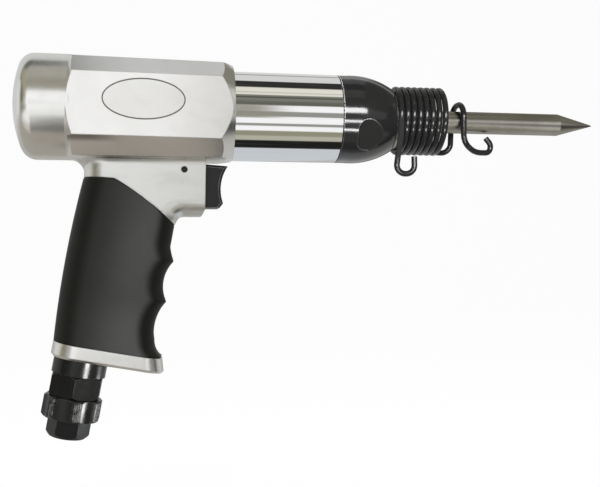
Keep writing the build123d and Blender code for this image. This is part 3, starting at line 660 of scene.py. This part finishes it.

# %% [markdown]
# ## Black lacquer
#
# The nose is lacquered: a deep black with a mirror-like skin that shows a little orange peel.
# Along the upper edges of its flats the corner shows a pale line of light. A wider rounding
# would blur the flats' outline away, so the rounding stays narrow and the line is a painted
# highlight laid into the colour, by a mask of the edges that fades towards the underside.

# %% Black lacquer
lacquer_black, painted_edge_highlight = (0.004, 0.004, 0.004), (0.40, 0.40, 0.41)
lacquer = Finish("black_lacquer", IOR=1.32)
x, y, z = lacquer.axes(lacquer.place())
upper = z.step(axis_z - 10 * MM, axis_z - 1 * MM) * 0.9 + 0.1
haze, peel = lacquer.noise(70, 3), lacquer.noise(900, 2)
# A painted highlight along the nose's edges: strong on top, faint below.
lacquer.set(Base_Color=lacquer.mix(lacquer.edges(0.6 * MM) * upper * 0.5, lacquer_black, painted_edge_highlight),
            Roughness=0.08 + haze * 0.06,
            Normal=lacquer.bump(peel, 0.01 * MM, lacquer.rounded(0.5 * MM)))
lacquer.tell()

# %% [markdown]
# ## Blacked wire
#
# The retainer is blued spring wire, oiled and a little scuffed, so it is shiny round its coil.
# The straight leg that runs down to the grip loop is gripped by the hand each time a chisel is
# changed, and its skin there is dull. A box round the leg is the mask for that.

# %% Blacked wire
wire_black, scuffed = (0.004, 0.004, 0.004), (0.03, 0.029, 0.027)
leg_x, leg_y = 142.2 * MM, -14.5 * MM
leg_foot, leg_head = 50 * MM, 68 * MM
wire = Finish("blacked_wire", IOR=1.24)
x, y, z = wire.axes(wire.place())
leg = x.step(leg_x + 1.6 * MM, leg_x + 1.0 * MM) * y.step(leg_y + 1 * MM, leg_y)
leg = leg * z.step(leg_foot - 3 * MM, leg_foot) * z.step(leg_head + 3 * MM, leg_head)
scuffs, oil, skin = wire.noise(700, 4), wire.noise(300, 3), wire.noise(2500, 2)
wire.set(Base_Color=wire.patch(wire_black, scuffed, 0.5, (scuffs, 0.6, 0.8)),
         Roughness=0.08 + oil * 0.12 + leg * 0.9,
         Normal=wire.bump(skin, 0.01 * MM))
wire.tell()

# %% [markdown]
# ## Black oxide
#
# The regulator and the inlet are phosphated steel: black, slightly uneven, and rubbed along the
# sharp edges. Two finishes are made of it, so what they share is a function. An edge mask times
# a noise gives wear that comes and goes along an edge; an even line would look drawn.

# %% Black oxide
oxide_black, oxide_grey, rubbed_edge = (0.004, 0.004, 0.004), (0.012, 0.0115, 0.011), (0.05, 0.05, 0.048)


def black_oxide(name):
    """A finish of phosphated steel, its speckled tone, and the wear along its edges."""
    finish = Finish(name, IOR=1.40)
    specks, patchiness = finish.noise(900, 4), finish.noise(400, 3)
    tone = finish.patch(oxide_black, oxide_grey, 0.6, (specks, 0.55, 0.75))
    return finish, tone, finish.edges(0.35 * MM) * patchiness.step(0.35, 0.6)


oxide, tone, edge_wear_and_highlight = black_oxide("black_oxide")
oil, crystals = oxide.noise(250, 4), oxide.noise(2200, 3)
oxide.set(Base_Color=oxide.mix(edge_wear_and_highlight * 0.8, tone, rubbed_edge),
          Roughness=0.13 + oil * 0.16,
          Normal=oxide.bump(crystals, 0.01 * MM, oxide.rounded(0.3 * MM)))
oxide.tell()

# %% [markdown]
# ### The knurled ring
#
# The regulator's ring has seven raised lands, and their faces are knurled with crossed cuts for
# the fingers. Cut into the mesh, the knurl would take thousands of faces and show no more, so it
# is relief: the higher of two sine waves that run up the lands to the left and to the right. The
# tops of the teeth are rubbed brighter. The pattern is laid out in the grip's own frame, because
# the ring stands square to the leaning grip.

# %% The knurled ring
inlet_u = -9.0 * MM                     # the ring's axis, behind the middle of the grip
lands, land_share = 7, 0.21             # their number, and the part of the round they take up
land_radius = 14.0 * MM                 # what lies further out than this is a land
knurl_round, knurl_up = 96, 2.0         # waves in radians, for one land and for one millimetre
bare_teeth = (0.25, 0.25, 0.24)


def in_grip_frame(finish, vector):
    """A place or a direction as three values: forward, across and up along the grip."""
    x, y, z = finish.axes(vector)
    forward = x * math.cos(rake) - z * math.sin(rake)
    return forward, y, x * math.sin(rake) + z * math.cos(rake)


knurl, tone, edge_wear_and_highlight = black_oxide("knurled_oxide")
forward, aside, upward = in_grip_frame(knurl, knurl.place())
forward = forward - inlet_u
turn = (aside.math("ARCTAN2", forward).math("DEGREES") + 360) / (360 / lands)
land = abs(turn.math("FRACT") - 0.5).step(land_share / 2 + 0.02, land_share / 2)
land = land * ((forward * forward + aside * aside) ** 0.5).step(land_radius, land_radius + 0.2 * MM)
around, along = turn * knurl_round, upward / MM * knurl_up
teeth = (around + along).math("SINE").math("MAXIMUM", (around - along).math("SINE")) * 0.5 + 0.5
patchiness, oil = knurl.noise(500, 3), knurl.noise(250, 4)
rubbed = land * teeth.step(0.8, 0.99) * patchiness.step(0.35, 0.6)
knurl.set(Base_Color=knurl.mix(rubbed * 0.6 + edge_wear_and_highlight * 0.15, tone, bare_teeth),
          Roughness=0.15 + oil * 0.16 + rubbed * 0.2,
          Normal=knurl.bump(land * teeth, 0.2 * MM, knurl.rounded(0.3 * MM)))
knurl.tell()

# %% [markdown]
# ## Black plastic
#
# The trigger is moulded plastic, polished by the finger. A pale line along its edges is a painted
# highlight, made with the same edge mask as on steel, broader and paler.

# %% Black plastic
plastic_black, plastic_edge_highlight = (0.008, 0.008, 0.0085), (0.32, 0.32, 0.32)
moulded = Finish("black_plastic", IOR=1.42)
patchiness, polish, grain = moulded.noise(120, 3), moulded.noise(200, 3), moulded.noise(1800, 2)
# A painted highlight along the trigger's sharp edges, broken up by noise.
edge_wear_and_highlight = moulded.edges(0.45 * MM) * patchiness.step(0.25, 0.6)
moulded.set(Base_Color=moulded.mix(edge_wear_and_highlight, plastic_black, plastic_edge_highlight),
            Roughness=0.25 + polish * 0.15,
            Normal=moulded.bump(grain, 0.02 * MM, moulded.rounded(0.4 * MM)))
moulded.tell()

# %% [markdown]
# ## Rubber
#
# The grip is charcoal rubber, fine-textured and almost matt. Light and shade are painted into its
# colour: the sides that face across get a painted lit grey, paler towards the front and the foot,
# and the roundings that face forward or back, like the rear of the sides, get a painted shaded
# black. The sides are found by the direction they face, which holds all along the finger grooves,
# so the painted shade follows them. The seals inside are the same kind of rubber, blacker and
# shinier with oil.

# %% Rubber
# Painted light and shade: the first colour is the shaded one, the others make the lit sides.
shaded_rubber, lit_rubber, lit_rubber_patchy = (0.006, 0.006, 0.005), (0.040, 0.040, 0.0392), (0.048, 0.048, 0.047)
lit_rubber_low = (0.062, 0.062, 0.061)
rubber = Finish("grip_rubber", IOR=1.28)
palm, pebble = rubber.noise(24, 3), rubber.noise(2600, 3)
fore = in_grip_frame(rubber, rubber.facing())[0]
forward, _, upward = in_grip_frame(rubber, rubber.place())
# Painted shade: faces that look forward or back, and the rear of the sides, keep the shaded colour.
side = abs(fore).step(0.55, 0.12) * (forward.step(-17 * MM, 12 * MM) * 0.85 + 0.15)
lit_rubber_sides = rubber.patch(lit_rubber, lit_rubber_patchy, 1.0, (palm, 0.4, 0.75))
lit_rubber_sides = rubber.patch(lit_rubber_sides, lit_rubber_low, 0.6, (upward, -18 * MM, -36 * MM))
rubber.set(Base_Color=rubber.mix(side, shaded_rubber, lit_rubber_sides), Roughness=0.40 + palm * 0.12,
           Normal=rubber.bump(pebble, 0.04 * MM))
rubber.tell()

seal = Finish("seal_rubber", Base_Color=(0.008, 0.008, 0.008), IOR=1.5)
oil, skin = seal.noise(300, 3), seal.noise(1500, 2)
seal.set(Roughness=0.25 + oil * 0.2, Normal=seal.bump(skin, 0.01 * MM))
seal.tell()

# %% [markdown]
# ## Machined and inner metals
#
# Turned steel carries fine rings along its axis; it is a warm grey, darker than the castings.
# Brass and bronze parts are seen when the gun is opened: brass is turned bright, the bronze
# silencer is sintered from small balls, so its skin is granular. Springs of plain steel wire are
# drawn bright. The turned metals differ only in tone and shine, so one function makes them all.

# %% Machined and inner metals
def turned_metal(name, dull, bright, rough):
    """A turned metal: rings across X, and two close tones in clouds."""
    metal = Finish(name, Metallic=1.0)
    clouds = metal.noise(60, 4)
    rings = metal.noise(1.0, 2, 0.5, metal.stretched(metal.place(), (4000, 300, 300)))
    metal.set(Base_Color=metal.patch(dull, bright, 1.0, (clouds, 0.4, 0.7)),
              Roughness=rough + rings * 0.12, Normal=metal.bump(rings, 0.01 * MM))
    metal.tell()
    return metal


steel = turned_metal("steel", (0.42, 0.40, 0.36), (0.52, 0.50, 0.46), 0.24)
brass = turned_metal("brass", (0.72, 0.52, 0.24), (0.84, 0.64, 0.32), 0.20)
spring = turned_metal("spring_steel", (0.50, 0.50, 0.50), (0.66, 0.66, 0.65), 0.18)

ball_bronze, gap_bronze = (0.62, 0.42, 0.22), (0.24, 0.15, 0.08)
bronze = Finish("sintered_bronze", Metallic=1.0)
balls = bronze.cells(3200)
bronze.set(Base_Color=bronze.patch(ball_bronze, gap_bronze, 1.0, (balls, 0.2, 0.7)),
           Roughness=0.35 + balls * 0.2, Normal=bronze.bump(balls, 0.1 * MM))
bronze.tell()

pin_black = Finish("pin_black", Base_Color=(0.01, 0.01, 0.01))
pin_black.set(Roughness=0.4 + pin_black.noise(300) * 0.2)
pin_black.tell()

# %% [markdown]
# ## Every solid gets its finish
#
# Each solid carries the name of its finish in the record that came with the model, so a table
# from those names to the materials dresses them all. Only two pieces differ from their name: the
# trigger's pin is blacked, and the regulator's ring is knurled. The groups say which pieces the
# small lamps light.

# %% Every solid gets its finish
def wear(node, finish):
    """Gives a carried-over solid its finish."""
    parts[node].data.materials.clear()
    parts[node].data.materials.append(finish.material)


finishes = {"housing": cast, "chrome": chrome, "black_paint": lacquer, "spring_black": wire,
            "grip_rubber": rubber, "black_plastic": moulded, "oxide_steel": oxide,
            "seal_rubber": seal, "brass": brass, "bronze": bronze, "spring_steel": spring,
            "steel": steel}
slots = {row["node"]: row["material_slot"] for row in frame["record"]["subparts"]}
for node in parts:
    wear(node, finishes[slots[node]])
wear("trigger_pin", pin_black)
wear("regulator_ring", knurl)
for group, nodes in ((lacquered, ("nose_cap", "retainer_spring")),
                     (fittings, ("regulator_body", "regulator_ring", "inlet_bushing"))):
    for node in nodes:
        group.objects.link(parts[node])
print("finished:", len(parts), "solids")

# %% [markdown]
# ## The valve spring
#
# The small coil spring behind the throttle stem is squeezed when the trigger is pulled: its rear
# end rests in the gun and its front end goes with the stem. A stiff coil would stay behind and
# the stem would run into it. Here the visible spring is a plain copy of the solid, set where the
# solid stood, and the solid is hidden.

# %% The valve spring
valve_spring = put("valve_spring", parts["throttle_spring"].data.copy())
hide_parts("throttle_spring")
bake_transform(valve_spring)

# %% [markdown]
# ## The flare behind the neck
#
# Where the neck runs out into the rounded rear end the casting is blended with a generous
# hollow rounding. A bevel can't make it, since it is not equally wide all round. So it is a strip
# of arcs round the neck's rear: each arc leaves the neck upright and meets the metal above level,
# widest straight behind and dying out at the sides. Behind the arcs the strip is closed by faces
# that lie hidden in the casting.

# %% A closed mesh from loops
def close_mesh(name, loops, finish, ride, ends=False):
    """A mesh through rings of equal length, closed on itself or with a face over each end."""
    skin = bmesh.new()
    rings = [[skin.verts.new(point) for point in loop] for loop in loops]
    for low, high in zip(rings, rings[1:] if ends else rings[1:] + rings[:1]):
        for i in range(len(low)):
            j = (i + 1) % len(low)
            skin.faces.new((low[i], low[j], high[j], high[i])).smooth = True
    if ends:
        skin.faces.new(rings[0])
        skin.faces.new(rings[-1])
    bmesh.ops.recalc_face_normals(skin, faces=skin.faces)
    mesh = bpy.data.meshes.new(name)
    skin.to_mesh(mesh)
    skin.free()
    mesh.materials.append(finish.material)
    obj = put(name, mesh)
    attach(obj, ride)
    print(name + ":", len(mesh.polygons), "faces")
    return obj


# %% The flare behind the neck, in millimetres
neck_x, neck_r = -17.6, 12.6            # the neck's rear, and the radius of its round
cap_z, cap_r, chin_z = 72.4, 26.15, 47.2        # axis and radius of the rear end, height of the chin
flare_wide, flare_narrow = 7.0, 3.2     # radius of the arcs, straight behind and at the sides
flare_end = 66.0                        # degrees from straight behind to where the strip dies out
chin_from, chin_span = 12, 22           # degrees over which the cap's underside runs into the chin
sunk, tucked, buried = 0.15, 1.5, 1.0   # how far the strip's sides lie inside the casting
flare_steps, arc_steps = 32, 10


def flare_arc(turn):
    """One closed outline of the flare, at a turn in degrees from straight behind."""
    share = abs(turn) / flare_end
    radius = flare_wide + (flare_narrow - flare_wide) * share ** 1.5
    back, side = -math.cos(math.radians(turn)), math.sin(math.radians(turn))
    under_cap = cap_z - math.sqrt(cap_r ** 2 - ((neck_r + radius) * side) ** 2)
    chin = min(max((abs(turn) - chin_from) / chin_span, 0), 1)
    top = under_cap + (chin_z - under_cap) * chin * chin * (3 - 2 * chin)
    outline = []
    for i in range(arc_steps + 1):
        bend = math.pi / 2 * i / arc_steps
        reach = neck_r - sunk + (radius + sunk) * (1 - math.cos(bend))
        outline.append((reach, top - radius + (radius + sunk) * math.sin(bend)))
    outline += [(outline[-1][0], top + buried), (neck_r - tucked, top + buried),
                (neck_r - tucked, top - radius)]
    return [Vector((neck_x + neck_r + back * reach, side * reach, z)) * MM for reach, z in outline]


turns = [flare_end * (2 * i / flare_steps - 1) for i in range(flare_steps + 1)]
close_mesh("neck_flare", [flare_arc(turn) for turn in turns], cast, "gun", ends=True)

# %% [markdown]
# ## The rubber grip
#
# The grip is moulded rubber, thick at the sides and hollowed for the fingers. It could be a
# block with the fingers carved out by a Boolean, but then every groove would end in a hard rim.
# Instead its section is a rounded rectangle at every height, and the front of that section
# follows the finger grooves, so the rounding runs along the grooves too. The grip is lofted ring
# by ring, and closed inside against the metal. All heights w and depths u are in the grip's own
# frame, in millimetres.

# %% The outline of the grip, in millimetres
# Points are (u, w): three on the hollow rear, then the front's ridges and the deepest points of
# its grooves, then the upper edge.
grip_low, grip_half = -47.8, 16.6
heel, belly, nape = (-23.8, grip_low), (-25.5, -6.1), (-24.2, 33.7)
ridges = (24.0, 7.6), (27.0, 0.6), (27.0, -19.9), (24.9, -40.3), (29.6, grip_low)
grooves = (25.0, 4.7), (23.8, -9.65), (23.4, -31.9), (26.2, -44.2)
slope_low, slope_top, crown, bow = (24.0, 18.6), (-4.0, 33.8), (-8.5, 35.6), 0.9


def hollow(w, start, middle, end):
    """Depth at height w of the hollow arc through three (u, w) points."""
    (ax, ay), (bx, by), (cx, cy) = start, middle, end
    d = 2 * (ax * (by - cy) + bx * (cy - ay) + cx * (ay - by))
    a2, b2, c2 = ax * ax + ay * ay, bx * bx + by * by, cx * cx + cy * cy
    ux = (a2 * (by - cy) + b2 * (cy - ay) + c2 * (ay - by)) / d
    uy = (a2 * (cx - bx) + b2 * (ax - cx) + c2 * (bx - ax)) / d
    radius = math.hypot(ax - ux, ay - uy)
    return ux - math.sqrt(max(radius ** 2 - (w - uy) ** 2, 0))


def grip_front(w):
    """Depth of the front: straight above the first ridge, then one hollow for each groove."""
    for start, middle, end in zip(ridges, grooves, ridges[1:]):
        if w >= end[1]:
            return start[0] if w > start[1] else hollow(w, start, middle, end)
    return ridges[-1][0]


def grip_edge(u):
    """Height of the rubber's upper edge: a bowed slope, a short rise, and a fall to the nape."""
    if u > slope_top[0]:
        t = (slope_low[0] - u) / (slope_low[0] - slope_top[0])
        return slope_low[1] + (slope_top[1] - slope_low[1]) * t + 4 * bow * max(t, 0) * (1 - t)
    if u > crown[0]:
        return crown[1] + (slope_top[1] - crown[1]) * (u - crown[0]) / (slope_top[0] - crown[0])
    return nape[1] + (crown[1] - nape[1]) * (u - nape[0]) / (crown[0] - nape[0])


print("grip from", grip_low, "to", crown[1], "mm")

# %% [markdown]
# ### Ring by ring
#
# The upper edge of the rubber slopes, so a ring that rises with it is not level: each of its
# points has a height of its own. That height depends on the depth of the point, and the depth on
# the height, through the finger grooves. Going round a few times settles both. The last two
# rings draw in a little, which gives the edge a lip.

# %% A rounded rectangle
corner_rear, corner_front = 15.0, 11.5  # radius of the rubber's corners
core_rear, core_front, core_half, core_round = -22.05, 20.85, 13.05, 11.5       # the metal inside
corner_steps, side_steps = 12, 10


def corner(middle_u, middle_y, radius, quarter):
    """A quarter of a circle: quarter 0 goes from the front to the side, 1 from there to the rear."""
    angles = [math.pi / 2 * (quarter + i / corner_steps) for i in range(corner_steps + 1)]
    return [(middle_u + radius * math.cos(a), middle_y + radius * math.sin(a)) for a in angles]


def rounded_ring(rear, front, half, rear_round, front_round):
    """A rounded rectangle, from the middle of its front all the way round, as (u, y) points."""
    side_front, side_rear = front - front_round, rear + rear_round
    points = [(front, 0.0)] + corner(side_front, half - front_round, front_round, 0)
    for i in range(1, side_steps):
        t = i / side_steps
        points.append((side_front * (1 - t) + side_rear * t, half))
    points += corner(side_rear, half - rear_round, rear_round, 1) + [(rear, 0.0)]
    return points + [(u, -y) for u, y in points[-2:0:-1]]


core = rounded_ring(core_rear, core_front, core_half, core_round, core_round)
print("points in a ring:", len(core))

# %% The rings of the grip
first_guess, settling = 25.0, 6         # where the search for a point's height starts, and its rounds
rows = 84
lip_share = 0.3 / 80                    # the lip starts 0.3 mm below the edge of some 80 mm of rubber
lip = (1 - lip_share, 0.15), (1.0, 0.55)        # share of the height, and how far the ring draws in


def outer_ring(t, inset=0.0):
    """One ring of the rubber's outside: t runs from 0 at the foot to 1 at the upper edge."""
    ring = []
    for i in range(len(core)):
        w = grip_low + t * (first_guess - grip_low)
        for _ in range(settling):
            level = rounded_ring(hollow(w, heel, belly, nape) + inset, grip_front(w) - inset,
                                 grip_half - inset, corner_rear - inset, corner_front - inset)
            u, y = level[i]
            w = grip_low + t * (grip_edge(u) - grip_low)
        ring.append((u, y, w))
    return ring


def grip_point(u, y, w):
    """A point of the grip's own frame, forward, across and up along the grip, as one of the gun."""
    forward, upward = u * math.cos(rake) + w * math.sin(rake), w * math.cos(rake) - u * math.sin(rake)
    return Vector((forward, y, upward)) * MM


rings = [outer_ring(i / rows) for i in range(rows)]
rings += [outer_ring(t, inset) for t, inset in lip]
rings += [[(u, y, grip_edge(u)) for u, y in core], [(u, y, grip_low) for u, y in core]]
loops = [[grip_point(*point) for point in ring] for ring in rings]
grip = close_mesh("rubber_grip", loops, rubber, "gun")
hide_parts("grip_sleeve")

# %% [markdown]
# ## End
#
# The grip is the last piece that this file builds.
